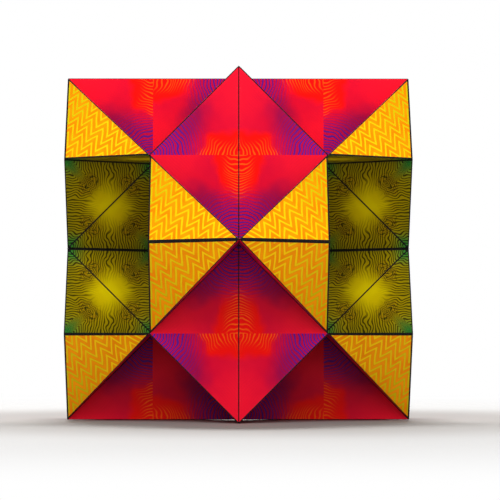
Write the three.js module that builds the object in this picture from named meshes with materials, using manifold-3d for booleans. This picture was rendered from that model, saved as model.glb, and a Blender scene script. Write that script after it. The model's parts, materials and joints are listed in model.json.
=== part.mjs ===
// Magnetic folding puzzle: four identical folding cubes clicked together into one star-shaped block.
// Each cube is a closed ring of twelve equal wedges (tetrahedra) joined edge to edge by film hinges.
// Units are millimetres. +Z is up, +X is right, -Y faces the front. The origin is at the
// middle of the footprint, on the surface that the block stands on.
import * as THREE from 'three';
import Module from 'manifold-3d';
import { mergeVertices } from 'three/addons/utils/BufferGeometryUtils.js';

// ---- driving dimensions ----
const CUBE_EDGE = 57.15;            // edge of one folded cube, and each short leg of a wedge's large face
const HALF = CUBE_EDGE / 2;         // height of a wedge's apex over its large face
const STEP = HALF * Math.SQRT2;     // lattice step along X and Z
const SKIN = 0.2;                   // each face stands this far inside its ideal plane: room for the printed film
const CHAMFER = 0.15;              // flat broken on every edge
const MAGNET_R = 4.0;               // disc magnets under the film
const MAGNET_T = 2.4;
const MAGNET_GAP = 0.3;             // clearance round a magnet in its pocket
const MAGNET_SIDES = 24;
const FLOOR_LIFT = 2 * STEP - SKIN; // brings the lowest faces to z = 0

const wasm = await Module();
wasm.setup();

// ---- one cube's ring, on the lattice (i, j, k): i right, j up, k back ----
// Each wedge is [apex, end of a leg, right-angle corner, end of the other leg].
// Petals are pairs that stay shut, face to face; arms are pairs that stand out on either side of one hinge.
const HALF_RING = [
  ['back_petal',   [0, 1, -1],  [-1, 1, 0],  [0, 2, 0],   [0, 2, -2]],
  ['side_arm_up',  [-1, 2, 1],  [-2, 2, 0],  [-1, 1, 0],  [0, 2, 0]],
  ['side_arm_low', [-2, 1, -1], [-1, 1, -2], [-1, 1, 0],  [-2, 2, 0]],
  ['side_petal',   [0, 1, -1],  [0, 2, -2],  [-1, 1, -2], [-1, 1, 0]],
  ['front_petal',  [0, 1, -1],  [0, 2, -2],  [-1, 1, -2], [0, 0, -2]],
  ['centre_arm',   [-1, 0, -3], [-1, 1, -2], [0, 0, -2],  [0, 0, -4]],
];
const CUBES = {
  top:   ([i, j, k]) => [i, j, k],
  base:  ([i, j, k]) => [i, -j, k],
  left:  ([i, j, k]) => [-j, i, -k],
  right: ([i, j, k]) => [j, i, -k],
};
const SIDES = { l: ([i, j, k]) => [i, j, k], r: ([i, j, k]) => [-i, j, k] };
const WITH_MAGNETS = (cube, name) => (cube === 'top' || cube === 'base') && name === 'centre_arm';

const place = ([i, j, k]) => new THREE.Vector3(i * STEP, k * HALF, j * STEP + FLOOR_LIFT);

// point where three planes n.x = d meet
function meet(p, q, r) {
  const qr = new THREE.Vector3().crossVectors(q.n, r.n);
  const rp = new THREE.Vector3().crossVectors(r.n, p.n);
  const pq = new THREE.Vector3().crossVectors(p.n, q.n);
  const det = p.n.dot(qr);
  return qr.multiplyScalar(p.d).add(rp.multiplyScalar(q.d)).add(pq.multiplyScalar(r.d)).divideScalar(det);
}

// wedge faces as inward planes: face f lies opposite corner f
function planesOf(corners) {
  const middle = corners.reduce((s, c) => s.add(c), new THREE.Vector3()).multiplyScalar(0.25);
  return corners.map((_, f) => {
    const [a, b, c] = corners.filter((_, v) => v !== f);
    const n = new THREE.Vector3().crossVectors(b.clone().sub(a), c.clone().sub(a)).normalize();
    if (n.dot(middle.clone().sub(a)) < 0) n.negate();
    return { n, d: n.dot(a), centre: a.clone().add(b).add(c).divideScalar(3) };
  });
}

// closed tetrahedron with every face set in by SKIN and every edge and corner broken
function wedgeGeometry(corners) {
  const planes = planesOf(corners);
  const inset = (f, by) => ({ n: planes[f].n, d: planes[f].d + by });
  const points = [];
  const id = {};
  for (let f = 0; f < 4; f++) {
    for (let v = 0; v < 4; v++) {
      if (v === f) continue;
      const [g, h] = [0, 1, 2, 3].filter((x) => x !== f && x !== v);
      id[`${f}${v}`] = points.length;
      points.push(meet(inset(f, SKIN), inset(g, SKIN + CHAMFER), inset(h, SKIN + CHAMFER)));
    }
  }
  const middle = points.reduce((s, p) => s.add(p), new THREE.Vector3()).divideScalar(points.length);
  const tris = [];
  const facet = (...ids) => {
    const [a, b, c] = ids.map((x) => points[x]);
    const n = new THREE.Vector3().crossVectors(b.clone().sub(a), c.clone().sub(a));
    const order = n.dot(a.clone().sub(middle)) > 0 ? ids : [...ids].reverse();
    for (let t = 1; t + 1 < order.length; t++) tris.push(order[0], order[t], order[t + 1]);
  };
  for (let f = 0; f < 4; f++) facet(...[0, 1, 2, 3].filter((v) => v !== f).map((v) => id[`${f}${v}`]));
  for (let f = 0; f < 4; f++) {
    for (let g = f + 1; g < 4; g++) {
      const [v, w] = [0, 1, 2, 3].filter((x) => x !== f && x !== g);
      facet(id[`${f}${v}`], id[`${f}${w}`], id[`${g}${w}`], id[`${g}${v}`]);
    }
  }
  for (let v = 0; v < 4; v++) facet(...[0, 1, 2, 3].filter((f) => f !== v).map((f) => id[`${f}${v}`]));
  const geometry = new THREE.BufferGeometry();
  geometry.setAttribute('position', new THREE.Float32BufferAttribute(points.flatMap((p) => [p.x, p.y, p.z]), 3));
  geometry.setIndex(tris);
  return geometry;
}

// a disc standing on an inward normal, from depth `from` to depth `to` below the ideal face
function discGeometry(plane, radius, from, to) {
  const geometry = new THREE.CylinderGeometry(radius, radius, to - from, MAGNET_SIDES);
  const turn = new THREE.Quaternion().setFromUnitVectors(new THREE.Vector3(0, 1, 0), plane.n);
  const at = plane.centre.clone().addScaledVector(plane.n, (from + to) / 2);
  return geometry.applyMatrix4(new THREE.Matrix4().compose(at, turn, new THREE.Vector3(1, 1, 1)));
}

function solidOf(geometry) {
  const bare = geometry.clone();
  bare.deleteAttribute('normal');
  bare.deleteAttribute('uv');
  const merged = mergeVertices(bare, 1e-4);
  return new wasm.Manifold(new wasm.Mesh({
    numProp: 3,
    vertProperties: new Float32Array(merged.attributes.position.array),
    triVerts: new Uint32Array(merged.index.array),
  }));
}

function geometryOf(solid) {
  const mesh = solid.getMesh();
  const geometry = new THREE.BufferGeometry();
  geometry.setAttribute('position', new THREE.BufferAttribute(new Float32Array(mesh.vertProperties), 3));
  geometry.setIndex(Array.from(mesh.triVerts));
  return geometry;
}

const SHELL = () => new THREE.MeshStandardMaterial({ color: 0x141316, roughness: 0.45, metalness: 0.0 });
const NICKEL = () => new THREE.MeshStandardMaterial({ color: 0xb9bcc2, roughness: 0.28, metalness: 0.95 });

const block = new THREE.Group();
for (const [cubeName, turn] of Object.entries(CUBES)) {
  const cube = new THREE.Group();
  for (const [sideName, flip] of Object.entries(SIDES)) {
    for (const [wedgeName, ...lattice] of HALF_RING) {
      const corners = lattice.map((p) => place(turn(flip(p))));
      const name = `${cubeName}_${wedgeName}_${sideName}`;
      let geometry = wedgeGeometry(corners);
      if (WITH_MAGNETS(cubeName, wedgeName)) {
        // faces opposite corners 1, 2 and 3 hold a magnet; the large face, opposite the apex, holds none
        const planes = planesOf(corners);
        let solid = solidOf(geometry);
        for (const [face, label] of [[1, 'a'], [2, 'b'], [3, 'c']]) {
          const seat = SKIN + MAGNET_GAP;
          solid = solid.subtract(solidOf(discGeometry(planes[face], MAGNET_R + MAGNET_GAP, -1, seat + MAGNET_T + MAGNET_GAP)));
          const magnet = new THREE.Mesh(discGeometry(planes[face], MAGNET_R, seat, seat + MAGNET_T), NICKEL());
          magnet.name = `${cubeName}_magnet_${sideName}_${label}`;
          cube.add(magnet);
        }
        geometry = geometryOf(solid);
      }
      const wedge = new THREE.Mesh(geometry, SHELL());
      wedge.name = name;
      cube.add(wedge);
    }
  }
  block.add(cube);
}

export default block;
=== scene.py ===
import json
import math

import bpy
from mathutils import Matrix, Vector


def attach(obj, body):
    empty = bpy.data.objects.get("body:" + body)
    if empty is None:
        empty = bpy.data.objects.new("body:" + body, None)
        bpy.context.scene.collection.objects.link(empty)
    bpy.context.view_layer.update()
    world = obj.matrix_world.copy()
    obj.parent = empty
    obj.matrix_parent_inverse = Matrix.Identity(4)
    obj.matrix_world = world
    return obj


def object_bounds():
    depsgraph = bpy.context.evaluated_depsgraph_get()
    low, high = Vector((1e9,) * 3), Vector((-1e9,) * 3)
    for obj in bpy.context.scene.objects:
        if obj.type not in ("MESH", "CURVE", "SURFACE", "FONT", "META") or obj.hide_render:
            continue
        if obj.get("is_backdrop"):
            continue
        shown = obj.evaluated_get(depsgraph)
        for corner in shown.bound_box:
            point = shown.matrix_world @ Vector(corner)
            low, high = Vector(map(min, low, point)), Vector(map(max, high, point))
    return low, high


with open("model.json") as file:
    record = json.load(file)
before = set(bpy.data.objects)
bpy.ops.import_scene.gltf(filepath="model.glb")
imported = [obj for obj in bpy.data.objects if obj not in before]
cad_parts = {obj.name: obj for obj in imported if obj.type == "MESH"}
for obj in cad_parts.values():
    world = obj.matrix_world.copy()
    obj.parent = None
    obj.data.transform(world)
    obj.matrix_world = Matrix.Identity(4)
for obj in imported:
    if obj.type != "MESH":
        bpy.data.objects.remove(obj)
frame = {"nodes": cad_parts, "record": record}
cad_lo, cad_hi = (Vector(p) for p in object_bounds())

# ---------------------------------------------------------------- sizes, from the CAD's own box
SKIN = 0.0002                                   # the CAD faces stand this far inside the ideal planes
STEP = ((cad_hi.x - cad_lo.x) / 2 + SKIN) / 2   # lattice step along X and Z
HALF = STEP / math.sqrt(2)                      # lattice step along Y, and a wedge's apex height
LIFT = cad_lo.z + 2 * STEP - SKIN
MID_X = (cad_lo.x + cad_hi.x) / 2
MID_Y = (cad_lo.y + cad_hi.y) / 2
LEG = 2 * HALF * 1000                           # mm, from here on
APEX = LEG / math.sqrt(2)                       # height of a side face over its leg
HYP = LEG * math.sqrt(2)
RISE = LEG / 2                                  # height of a cut face over the hypotenuse
SLOPE = LEG * math.sqrt(3) / 2                  # length of an apex edge

HALF_RING = {   # piece: apex, leg end, right angle, leg end; index of the leg end on the spoke hinge
    "back_petal": ([(0, 1, -1), (-1, 1, 0), (0, 2, 0), (0, 2, -2)], 3),
    "side_arm_up": ([(-1, 2, 1), (-2, 2, 0), (-1, 1, 0), (0, 2, 0)], 1),
    "side_arm_low": ([(-2, 1, -1), (-1, 1, -2), (-1, 1, 0), (-2, 2, 0)], 3),
    "side_petal": ([(0, 1, -1), (0, 2, -2), (-1, 1, -2), (-1, 1, 0)], 1),
    "front_petal": ([(0, 1, -1), (0, 2, -2), (-1, 1, -2), (0, 0, -2)], 1),
    "centre_arm": ([(-1, 0, -3), (-1, 1, -2), (0, 0, -2), (0, 0, -4)], 3),
}
CUBES = {
    "top": lambda i, j, k: (i, j, k),
    "base": lambda i, j, k: (i, -j, k),
    "left": lambda i, j, k: (-j, i, -k),
    "right": lambda i, j, k: (j, i, -k),
}
SIDES = {"l": lambda i, j, k: (i, j, k), "r": lambda i, j, k: (-i, j, k)}


def place(p):
    i, j, k = p
    return Vector((MID_X + i * STEP, MID_Y + k * HALF, j * STEP + LIFT))


# ---------------------------------------------------------------- materials
class Graph:
    """A small material graph: numbers and sockets mix freely in every call."""

    def __init__(self, name):
        self.mat = bpy.data.materials.new(name)
        self.mat.use_nodes = True
        self.tree = self.mat.node_tree
        self.tree.nodes.clear()
        self.out = self.node("ShaderNodeOutputMaterial")
        self.bsdf = self.node("ShaderNodeBsdfPrincipled")
        self.tree.links.new(self.bsdf.outputs[0], self.out.inputs[0])

    def node(self, kind):
        return self.tree.nodes.new(kind)

    def put(self, socket, value):
        if isinstance(value, bpy.types.NodeSocket):
            self.tree.links.new(value, socket)
        elif isinstance(value, (tuple, list)):
            socket.default_value = (*value, 1.0) if len(value) == 3 and socket.type == "RGBA" else value
        else:
            socket.default_value = value

    def math(self, op, *values, clamp=False):
        n = self.node("ShaderNodeMath")
        n.operation = op
        n.use_clamp = clamp
        for s, v in zip(n.inputs, values):
            self.put(s, v)
        return n.outputs[0]

    def add(self, a, b): return self.math("ADD", a, b)
    def sub(self, a, b): return self.math("SUBTRACT", a, b)
    def mul(self, a, b): return self.math("MULTIPLY", a, b)
    def absolute(self, a): return self.math("ABSOLUTE", a)
    def low(self, a, b): return self.math("MINIMUM", a, b)
    def high(self, a, b): return self.math("MAXIMUM", a, b)
    def sine(self, a): return self.math("SINE", a)
    def frac(self, a): return self.math("FRACT", a)
    def length(self, a, b): return self.math("SQRT", self.add(self.mul(a, a), self.mul(b, b)))

    def line(self, a, b, c, x, y):
        """a*x + b*y + c"""
        return self.add(self.add(self.mul(x, a), self.mul(y, b)), c)

    def ramp(self, value, start, end, low=0.0, high=1.0):
        n = self.node("ShaderNodeMapRange")
        n.interpolation_type = "SMOOTHSTEP"
        for key, v in zip(("Value", "From Min", "From Max", "To Min", "To Max"), (value, start, end, low, high)):
            self.put(n.inputs[key], v)
        return n.outputs[0]

    def blend(self, factor, a, b):
        n = self.node("ShaderNodeMix")
        n.data_type = "RGBA"
        n.clamp_factor = True
        self.put(n.inputs[0], factor)
        self.put(n.inputs[6], a)
        self.put(n.inputs[7], b)
        return n.outputs[2]

    def pick(self, factor, a, b):
        """a where factor is 0, b where it is 1"""
        return self.add(a, self.mul(factor, self.sub(b, a)))

    def film_uv(self):
        n = self.node("ShaderNodeUVMap")
        n.uv_map = "film_mm"
        s = self.node("ShaderNodeSeparateXYZ")
        self.tree.links.new(n.outputs[0], s.inputs[0])
        return n.outputs[0], s.outputs[0], s.outputs[1]

    def object_point(self):
        n = self.node("ShaderNodeTexCoord")
        return n.outputs["Object"]

    def noise(self, vector, scale, detail=2.0, rough=0.5, distortion=0.0):
        n = self.node("ShaderNodeTexNoise")
        self.put(n.inputs["Vector"], vector)
        n.inputs["Scale"].default_value = scale
        n.inputs["Detail"].default_value = detail
        n.inputs["Roughness"].default_value = rough
        n.inputs["Distortion"].default_value = distortion
        return n.outputs["Fac"]

    def bump(self, height, strength, distance):
        n = self.node("ShaderNodeBump")
        n.inputs["Strength"].default_value = strength
        n.inputs["Distance"].default_value = distance
        self.put(n.inputs["Height"], height)
        self.tree.links.new(n.outputs[0], self.bsdf.inputs["Normal"])

    def film_finish(self, uv, colour, ink, edge):
        """The gloss, the film's faint ripple, ink build-up and edge wear that all the prints share."""
        ripple = self.noise(uv, 0.16, 3.0, 0.55)
        grain = self.noise(uv, 3.2, 3.0, 0.6)
        scuff = self.ramp(self.noise(uv, 0.45, 5.0, 0.7, 0.6), 0.56, 0.74)
        worn = self.mul(self.ramp(edge, 1.5, 0.2), self.ramp(self.noise(uv, 1.3, 4.0, 0.7), 0.5, 0.72))
        colour = self.blend(self.mul(worn, 0.10), colour, (0.42, 0.30, 0.28))
        self.put(self.bsdf.inputs["Base Color"], colour)
        rough = self.add(0.30, self.add(self.mul(grain, 0.10), self.add(self.mul(scuff, 0.08), self.mul(worn, 0.2))))
        self.put(self.bsdf.inputs["Roughness"], rough)
        self.bsdf.inputs["Specular IOR Level"].default_value = 0.035
        height = self.add(self.mul(ripple, 0.9), self.add(self.mul(grain, 0.06), self.mul(ink, 0.10)))
        self.bump(height, 0.22, 0.0004)


TAU = 2 * math.pi


def red_print():
    g = Graph("print_red")
    uv, x, y = g.film_uv()
    # each large face is printed in two equal tiles, one on each leg; s runs along the leg, t away from it
    spoke = g.math("GREATER_THAN", x, y)
    s = g.pick(spoke, g.sub(LEG, y), x)
    t = g.pick(spoke, x, y)
    cloud = g.sub(g.noise(uv, 0.07, 2.0), 0.5)
    curl = g.sub(g.noise(uv, 0.11, 1.0), 0.5)
    # ground: crimson by the far end of the leg, pure red round the middle of the long edge
    ms, mt = g.sub(LEG / 2, s), g.sub(LEG / 2, t)
    along = g.mul(g.add(ms, mt), math.sqrt(0.5))     # from the middle of the long edge towards the tile's first corner
    across = g.mul(g.sub(mt, ms), math.sqrt(0.5))
    lobe = g.length(g.mul(g.sub(along, 5.0), 1 / 14.5), g.mul(across, 1 / 10.5))
    lobe = g.add(lobe, g.mul(curl, 0.9))
    ground = g.blend(g.ramp(g.add(s, g.mul(cloud, 30)), 18, 54), (0.62, 0.000, 0.030), (0.86, 0.004, 0.028))
    ground = g.blend(g.ramp(lobe, 1.25, 0.80), ground, (0.90, 0.003, 0.001))
    # purple patch half way along the leg, and violet arcs round the first corner
    patch = g.length(g.mul(g.sub(s, 23.0), 1 / 16.0), g.mul(g.sub(t, 1.0), 1 / 10.5))
    patch = g.add(patch, g.mul(curl, 0.7))
    ground = g.blend(g.mul(g.ramp(patch, 1.10, 0.25), 0.88), ground, (0.30, 0.001, 0.055))
    radius = g.length(s, t)
    corner = g.ramp(radius, 31, 9)
    ground = g.blend(g.mul(corner, 0.60), ground, (0.42, 0.001, 0.062))
    wave = g.sine(g.mul(g.add(radius, g.mul(curl, 5.0)), TAU / 1.45))
    arcs = g.mul(g.ramp(wave, -0.1, 0.5), g.ramp(g.add(radius, g.mul(t, 0.35)), 33, 17))
    violet = g.blend(g.ramp(radius, 8, 26), (0.040, 0.010, 0.330), (0.120, 0.006, 0.190))
    colour = g.blend(g.mul(arcs, 0.90), ground, violet)
    # orange hairlines that fan out along the lower rim of the red lobe
    fan = g.sine(g.mul(g.add(g.add(along, g.mul(g.mul(across, across), 0.055)), g.mul(curl, 7)), TAU / 1.6))
    fan_zone = g.ramp(g.add(g.absolute(across), g.mul(curl, 8)), 8.0, 1.0)
    fan_zone = g.mul(fan_zone, g.ramp(lobe, 1.12, 0.80))
    hair = g.mul(g.ramp(fan, 0.25, 0.8), fan_zone)
    colour = g.blend(g.mul(hair, 0.82), colour, (1.0, 0.120, 0.003))
    # faint ruled lines in the plain crimson
    rule = g.mul(g.ramp(g.sine(g.mul(g.add(t, g.mul(curl, 3)), TAU / 1.1)), 0.2, 0.9), g.ramp(s, 30, 46))
    colour = g.blend(g.mul(rule, 0.14), colour, (1.0, 0.02, 0.01))
    edge = g.low(g.low(x, y), g.mul(g.sub(LEG, g.add(x, y)), math.sqrt(0.5)))
    # painted shade: a thin near-black band along the red film's edges stands in for the dark of the seams between
    # panels
    border = g.ramp(edge, 0.30, 0.20)
    colour = g.blend(border, colour, (0.012, 0.006, 0.012))
    g.film_finish(uv, colour, g.add(arcs, hair), edge)
    return g.mat


def yellow_print():
    g = Graph("print_yellow")
    uv, x, y = g.film_uv()
    drift = g.sub(g.noise(uv, 0.05, 1.0), 0.5)
    period, tooth, pitch, lead = 9.6, 5.43, 4.05, 0.4126
    # the rows lean, and the zigzags run out into straight rules at one corner
    row = g.add(g.add(x, g.mul(y, 0.30)), g.mul(drift, 5))
    held = g.high(row, period * (1 + lead) - 0.0001)
    turn = g.frac(g.mul(held, 1 / period))
    rising = g.mul(turn, 1 / lead)
    falling = g.mul(g.sub(1.0, turn), 1 / (1 - lead))
    zig = g.mul(g.low(rising, falling), tooth)
    straight = g.mul(g.sub(held, row), tooth / (lead * period))
    phase = g.mul(g.add(g.sub(y, zig), g.add(straight, g.mul(drift, 2))), 1 / pitch)
    saw = g.absolute(g.sub(g.frac(phase), 0.5))       # 0 in the middle of a stripe, 0.5 at its border
    stripe = g.ramp(saw, 0.215, 0.150)
    shade = g.ramp(saw, 0.29, 0.22)
    tone = g.noise(uv, 0.09, 2.0)
    orange = g.blend(g.ramp(tone, 0.35, 0.65), (0.92, 0.255, 0.0005), (0.97, 0.33, 0.001))
    deep = (0.72, 0.230, 0.000)
    yellow = g.blend(g.ramp(g.add(x, g.mul(tone, 40)), 42, 84), (0.97, 0.60, 0.003), (0.66, 0.52, 0.002))
    colour = g.blend(g.mul(shade, 0.55), orange, deep)
    colour = g.blend(stripe, colour, yellow)
    side_a = g.mul(g.line(RISE, -HYP / 2, 0.0, x, y), 1 / SLOPE)
    side_b = g.mul(g.line(-RISE, -HYP / 2, RISE * HYP, x, y), 1 / SLOPE)
    edge = g.low(g.low(side_a, side_b), y)
    border = g.high(g.ramp(g.low(side_a, side_b), 1.05, 0.85), g.ramp(y, 0.55, 0.38))
    colour = g.blend(border, colour, (0.011, 0.010, 0.010))
    g.film_finish(uv, colour, stripe, edge)
    return g.mat


def green_print():
    g = Graph("print_green")
    uv, x, y = g.film_uv()
    cloud = g.sub(g.noise(uv, 0.07, 2.0), 0.5)
    curl = g.sub(g.noise(uv, 0.13, 1.0), 0.5)
    # the two faces on a hinge make a square; p and q run between its sides
    a = g.mul(g.sub(x, LEG / 2), 2 / LEG)
    b = g.mul(y, 1 / APEX)
    p, q = g.add(a, b), g.sub(a, b)
    ap, aq = g.absolute(p), g.absolute(q)
    far = g.high(ap, aq)
    near = g.low(ap, aq)
    radius = g.length(p, q)
    ground = g.blend(g.ramp(g.add(radius, g.mul(cloud, 0.5)), 0.05, 0.75), (0.70, 0.530, 0.001), (0.370, 0.265, 0.001))
    ground = g.blend(g.ramp(g.add(far, g.mul(cloud, 0.3)), 0.62, 1.05), ground, (0.270, 0.212, 0.003))
    ground = g.blend(g.ramp(g.add(near, g.mul(cloud, 0.25)), 0.58, 0.92), ground, (0.045, 0.205, 0.032))
    star = g.ramp(g.add(g.add(near, g.mul(far, 0.55)), g.mul(curl, 0.30)), 0.36, 0.02)
    ground = g.blend(g.mul(star, 0.60), ground, (0.800, 0.660, 0.001))
    # dark contours that meet the square's sides at right angles
    turned = g.ramp(g.sub(ap, aq), -0.16, 0.16)
    run = g.pick(turned, p, q)
    run = g.add(run, g.add(g.mul(curl, 0.24), g.mul(cloud, 0.10)))
    lines = g.sine(g.mul(run, TAU / 0.062))
    rim = g.ramp(g.add(far, g.mul(cloud, 0.4)), 0.16, 0.72)
    contour = g.mul(g.ramp(lines, 0.05, 0.55), rim)
    ink = g.blend(g.ramp(near, 0.35, 0.85), (0.014, 0.013, 0.002), (0.001, 0.012, 0.006))
    colour = g.blend(g.mul(contour, 0.88), ground, ink)
    # bright green slips between the contours, towards the corners
    slip = g.mul(g.mul(g.ramp(lines, -0.45, -0.95), g.ramp(near, 0.45, 0.85)), 0.60)
    colour = g.blend(slip, colour, (0.020, 0.330, 0.030))
    # brown and orange rings in the four quarters
    quarter = g.add(g.absolute(g.sub(ap, 0.46)), g.absolute(g.sub(aq, 0.46)))
    quarter = g.add(g.mul(quarter, 0.8), g.mul(g.absolute(g.sub(g.add(ap, aq), 0.92)), 0.5))
    quarter = g.add(quarter, g.mul(g.sine(g.mul(g.sub(ap, aq), 26.0)), 0.030))
    rings = g.sine(g.add(g.mul(quarter, TAU / 0.078), g.mul(curl, 7)))
    ring_zone = g.mul(g.ramp(quarter, 0.42, 0.22), 0.85)
    colour = g.blend(g.mul(g.ramp(rings, 0.1, 0.7), ring_zone), colour, (0.018, 0.015, 0.004))
    colour = g.blend(g.mul(g.ramp(rings, -0.5, -0.95), g.mul(ring_zone, 0.55)), colour, (0.340, 0.120, 0.006))
    side_a = g.mul(g.line(APEX, -LEG / 2, 0.0, x, y), 1 / SLOPE)
    side_b = g.mul(g.line(-APEX, -LEG / 2, APEX * LEG, x, y), 1 / SLOPE)
    edge = g.low(g.low(side_a, side_b), y)
    border = g.high(g.ramp(g.low(side_a, side_b), 0.80, 0.58), g.ramp(y, 0.50, 0.36))
    colour = g.blend(border, colour, (0.009, 0.010, 0.009))
    g.film_finish(uv, colour, g.add(contour, g.mul(rings, ring_zone)), edge)
    return g.mat


def shell_plastic():
    g = Graph("shell_black")
    at = g.object_point()
    grain = g.noise(at, 2600.0, 3.0, 0.6)
    flow = g.noise(at, 60.0, 3.0, 0.5, 0.4)
    colour = g.blend(g.ramp(flow, 0.35, 0.65), (0.010, 0.010, 0.011), (0.022, 0.021, 0.023))
    g.put(g.bsdf.inputs["Base Color"], colour)
    g.put(g.bsdf.inputs["Roughness"], g.add(0.40, g.mul(grain, 0.16)))
    g.bsdf.inputs["Specular IOR Level"].default_value = 0.22
    g.bump(grain, 0.25, 0.00006)
    return g.mat


def hinge_plastic():
    g = Graph("hinge_film")
    at = g.object_point()
    crease = g.noise(at, 900.0, 4.0, 0.6, 0.8)
    rub = g.ramp(g.noise(at, 240.0, 3.0, 0.6), 0.60, 0.72)
    colour = g.blend(g.mul(rub, 0.5), (0.006, 0.005, 0.006), (0.060, 0.040, 0.048))
    g.put(g.bsdf.inputs["Base Color"], colour)
    g.put(g.bsdf.inputs["Roughness"], g.add(0.38, g.mul(crease, 0.22)))
    g.bsdf.inputs["Specular IOR Level"].default_value = 0.12
    g.bump(crease, 0.35, 0.00005)
    return g.mat


def nickel():
    g = Graph("magnet_nickel")
    at = g.object_point()
    haze = g.noise(at, 700.0, 4.0, 0.6)
    spots = g.ramp(g.noise(at, 160.0, 3.0, 0.6), 0.6, 0.75)
    g.put(g.bsdf.inputs["Base Color"], g.blend(g.mul(spots, 0.4), (0.62, 0.62, 0.63), (0.40, 0.38, 0.36)))
    g.bsdf.inputs["Metallic"].default_value = 1.0
    g.put(g.bsdf.inputs["Roughness"], g.add(0.16, g.mul(haze, 0.18)))
    g.bump(haze, 0.15, 0.00003)
    return g.mat


PRINTS = {"print_red": red_print(), "print_yellow": yellow_print(), "print_green": green_print()}
SHELL, FILM_EDGE, NICKEL = shell_plastic(), hinge_plastic(), nickel()

for name, node in frame["nodes"].items():
    for cell in node.material_slots:
        cell.material = NICKEL if "_magnet_" in name else SHELL


# ---------------------------------------------------------------- printed film on every wedge face
def meet(a, b, c):
    """Point where three planes (normal, distance) meet."""
    bc, ca, ab = b[0].cross(c[0]), c[0].cross(a[0]), a[0].cross(b[0])
    return (bc * a[1] + ca * b[1] + ab * c[1]) / a[0].dot(bc)


def planes_of(corners):
    middle = sum(corners, Vector()) / 4
    found = []
    for f in range(4):
        a, b, c = (corners[v] for v in range(4) if v != f)
        n = (b - a).cross(c - a).normalized()
        if n.dot(middle - a) < 0:
            n.negate()
        found.append((n, n.dot(a)))
    return found


def inset(plane, by):
    return plane[0], plane[1] + by


RINGS = [(0.000050, 0.000105), (0.000070, 0.000080), (0.000110, 0.000122), (0.000185, 0.000320)]   # depth below the face's plane, distance in from its neighbours


class Sheet:
    """Film panels that ride on one body and take one print."""

    def __init__(self):
        self.points, self.faces, self.uvs = [], [], []

    def panel(self, corners, f, to_uv):
        planes = planes_of(corners)
        ids = [v for v in range(4) if v != f]
        start = len(self.points)
        for depth, back in RINGS:
            for v in ids:
                g, h = [w for w in ids if w != v]
                self.points.append(meet(inset(planes[f], depth), inset(planes[g], back), inset(planes[h], back)))
        def face(*local):
            pts = [self.points[start + n] for n in local]
            normal = (pts[1] - pts[0]).cross(pts[2] - pts[0])
            mid = sum(self.points[start:start + 3 * len(RINGS)], Vector()) / (3 * len(RINGS))
            order = local if normal.dot(pts[0] - mid) > 0 else local[::-1]
            self.faces.append([start + n for n in order])
            self.uvs.append([to_uv(self.points[start + n]) for n in order])
        face(0, 1, 2)
        for r in range(len(RINGS) - 1):
            for n in range(3):
                m = (n + 1) % 3
                face(3 * r + n, 3 * r + m, 3 * r + 3 + m, 3 * r + 3 + n)
        last = 3 * (len(RINGS) - 1)
        face(last, last + 1, last + 2)

    def build(self, name, material):
        mesh = bpy.data.meshes.new(name)
        mesh.from_pydata([tuple(p) for p in self.points], [], self.faces)
        layer = mesh.uv_layers.new(name="film_mm")
        flat = [c for face in self.uvs for c in face]
        layer.data.foreach_set("uv", [c for uv in flat for c in uv])
        mesh.materials.append(material)
        mesh.update()
        piece = bpy.data.objects.new(name, mesh)
        bpy.context.scene.collection.objects.link(piece)
        return piece


def frame_uv(origin, toward, third):
    """Coordinates in mm on a face: along origin-toward, and away from it on the side of third."""
    ux = (toward - origin).normalized()
    away = third - origin
    uy = (away - ux * away.dot(ux)).normalized()
    return lambda p: ((p - origin).dot(ux) * 1000, (p - origin).dot(uy) * 1000)


node_body = {n: body for body, members in frame["record"]["behaviour"]["bodies"].items() for n in members}
sheets, wedges = {}, {}
for cube, turn in CUBES.items():
    for side, flip in SIDES.items():
        for piece, (lattice, spoke) in HALF_RING.items():
            corners = [place(turn(*flip(*p))) for p in lattice]
            node = f"{cube}_{piece}_{side}"
            body = node_body[node]
            wedges[node] = (corners, spoke, body)
            other = 4 - spoke                      # the leg ends are corners 1 and 3
            apex, square, end_a, end_b = corners[0], corners[2], corners[spoke], corners[other]
            wanted = (
                (0, "print_red", frame_uv(square, end_a, end_b)),
                (2, "print_yellow", frame_uv(end_b, end_a, apex) if "side_arm" in piece else frame_uv(end_a, end_b, apex)),
                (other, "print_green", frame_uv(square, end_a, apex)),
                (spoke, "print_green", frame_uv(square, end_b, apex)),
            )
            for f, slot, to_uv in wanted:
                sheets.setdefault((body, slot), Sheet()).panel(corners, f, to_uv)

for (body, slot), sheet in sheets.items():
    piece = sheet.build(f"{body}_{slot.split('_')[1]}_film", PRINTS[slot])
    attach(piece, body)


# ---------------------------------------------------------------- film hinges
def hinge(name, a, b, body):
    """A creased film fold: a slim round cord along the shared edge that narrows at both ends."""
    axis = (b - a).normalized()
    size = (b - a).length
    side = axis.cross(Vector((0.31, 0.52, 0.79))).normalized()
    up = axis.cross(side)
    turns, steps = 12, 36
    points, faces = [], []
    for n in range(steps + 1):
        u = n / steps
        along = 0.0003 + u * (size - 0.0006)
        swell = min(1.0, math.sin(math.pi * min(max(u, 0.012), 0.988)) * 40) ** 0.5
        r = 0.000190 * swell * (1 + 0.01 * math.sin(u * 61 + len(name)))
        for m in range(turns):
            t = TAU * m / turns
            points.append(a + axis * along + side * (math.cos(t) * r) + up * (math.sin(t) * r))
    for n in range(steps):
        for m in range(turns):
            k = (m + 1) % turns
            faces.append([n * turns + m, n * turns + k, (n + 1) * turns + k, (n + 1) * turns + m])
    faces.append(list(range(turns))[::-1])
    faces.append([steps * turns + m for m in range(turns)])
    mesh = bpy.data.meshes.new(name)
    mesh.from_pydata([tuple(p) for p in points], [], faces)
    mesh.materials.append(FILM_EDGE)
    for poly in mesh.polygons:
        poly.use_smooth = True
    mesh.update()
    piece = bpy.data.objects.new(name, mesh)
    bpy.context.scene.collection.objects.link(piece)
    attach(piece, body)
    return piece


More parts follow.
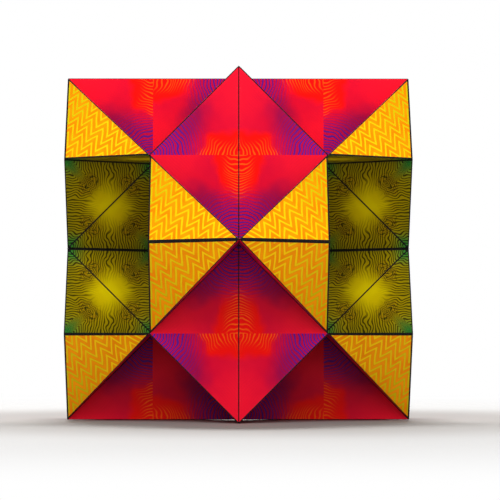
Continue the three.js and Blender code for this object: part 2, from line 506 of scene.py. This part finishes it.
seen = {}
for node, (corners, spoke, body) in wedges.items():
    for end in (1, 3):
        a, b = corners[2], corners[end]
        key = (node.split("_")[0], tuple(sorted((tuple(round(c, 6) for c in a), tuple(round(c, 6) for c in b)))))
        if key not in seen:
            seen[key] = node
            kind = "spoke" if end == spoke else "side"
            hinge(f"{node}_{kind}_film_hinge", a, b, body)


# ---------------------------------------------------------------- floor, light, camera
def studio_floor():
    """A flat pale table with a painted shadow: its colour is darker round the object, and it turns evenly bright away
    from the object, like a white infinity table.
    """
    g = Graph("studio_paper")
    at = g.object_point()
    fibre = g.noise(at, 900.0, 3.0, 0.6)
    tone = g.noise(at, 3.0, 2.0, 0.5)
    g.put(g.bsdf.inputs["Roughness"], g.add(0.78, g.mul(fibre, 0.12)))
    g.bsdf.inputs["Specular IOR Level"].default_value = 0.1
    g.bump(fibre, 0.05, 0.00005)
    split = g.node("ShaderNodeSeparateXYZ")
    g.tree.links.new(at, split.inputs[0])
    away = g.length(split.outputs[0], split.outputs[1])
    # painted shadow: the base colour is darker within 0.13 m of the object and reaches the pale tone at 0.29 m
    near = g.blend(tone, (0.325, 0.312, 0.300), (0.345, 0.332, 0.320))
    far = g.blend(tone, (0.46, 0.456, 0.45), (0.49, 0.486, 0.48))
    g.put(g.bsdf.inputs["Base Color"], g.blend(g.ramp(away, 0.13, 0.29), near, far))
    glow = g.node("ShaderNodeEmission")
    glow.inputs[0].default_value = (1.0, 1.0, 1.0, 1.0)
    glow.inputs[1].default_value = 1.0
    mix = g.node("ShaderNodeMixShader")
    g.put(mix.inputs[0], g.ramp(away, 0.22, 0.62))
    g.tree.links.new(g.bsdf.outputs[0], mix.inputs[1])
    g.tree.links.new(glow.outputs[0], mix.inputs[2])
    g.tree.links.new(mix.outputs[0], g.out.inputs[0])
    z0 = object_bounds()[0][2] - 0.00005
    rings, turns = [0.0, 0.2, 0.5, 1.0, 2.0, 4.0], 48
    points, faces = [(MID_X, MID_Y, z0)], []
    for r in rings[1:]:
        points += [(MID_X + r * math.cos(TAU * n / turns), MID_Y + r * math.sin(TAU * n / turns), z0) for n in range(turns)]
    for n in range(turns):
        m = (n + 1) % turns
        faces.append([0, 1 + n, 1 + m])
        for k in range(len(rings) - 2):
            a, b = 1 + k * turns, 1 + (k + 1) * turns
            faces.append([a + n, b + n, b + m, a + m])
    mesh = bpy.data.meshes.new("studio_table")
    mesh.from_pydata(points, [], faces)
    mesh.materials.append(g.mat)
    floor = bpy.data.objects.new("studio_table", mesh)
    bpy.context.scene.collection.objects.link(floor)
    floor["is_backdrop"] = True


def softbox(name, at, aim, size, watts, colour=(1, 1, 1)):
    light = bpy.data.lights.new(name, "AREA")
    light.shape = "RECTANGLE"
    light.size, light.size_y = size
    light.energy = watts
    light.color = colour
    o = bpy.data.objects.new(name, light)
    o.location = at
    o.rotation_euler = (Vector(aim) - Vector(at)).to_track_quat("-Z", "Y").to_euler()
    bpy.context.scene.collection.objects.link(o)


studio_floor()
world = bpy.data.worlds.new("studio")
world.use_nodes = True
sky = world.node_tree
soft = sky.nodes["Background"]
soft.inputs[0].default_value = (1.0, 0.995, 0.99, 1)
soft.inputs[1].default_value = 0.20
plain = sky.nodes.new("ShaderNodeBackground")     # the white that is seen behind the object
plain.inputs[0].default_value = (1.0, 1.0, 1.0, 1)
plain.inputs[1].default_value = 1.0
ray, choose = sky.nodes.new("ShaderNodeLightPath"), sky.nodes.new("ShaderNodeMixShader")
sky.links.new(ray.outputs["Is Camera Ray"], choose.inputs[0])
sky.links.new(soft.outputs[0], choose.inputs[1])
sky.links.new(plain.outputs[0], choose.inputs[2])
sky.links.new(choose.outputs[0], sky.nodes["World Output"].inputs[0])
bpy.context.scene.world = world
middle = (MID_X, MID_Y, (cad_lo.z + cad_hi.z) / 2)
softbox("key_front_high", (-0.10, -1.45, 1.12), middle, (1.3, 0.9), 22)
softbox("top_soft", (0.0, 0.42, 1.15), middle, (0.5, 0.4), 19)
softbox("low_fill", (0.15, -1.9, 0.30), middle, (1.6, 0.5), 6)
softbox("back_soft", (-0.35, 1.6, 1.0), middle, (1.4, 0.9), 16)

cam = bpy.data.cameras.new("camera")
cam.sensor_width = 36.0
cam.lens = 2719.0 / 500.0 * 36.0
cam.clip_start, cam.clip_end = 0.05, 20.0
eye = bpy.data.objects.new("camera", cam)
eye.location = (MID_X - 0.0050, MID_Y - 1.286, cad_lo.z + 0.0346)
aim = Vector((22.4, 2728.0, 96.3))
eye.rotation_euler = aim.to_track_quat("-Z", "Y").to_euler()
bpy.context.scene.collection.objects.link(eye)
bpy.context.scene.camera = eye
bpy.context.scene.view_settings.view_transform = "Standard"
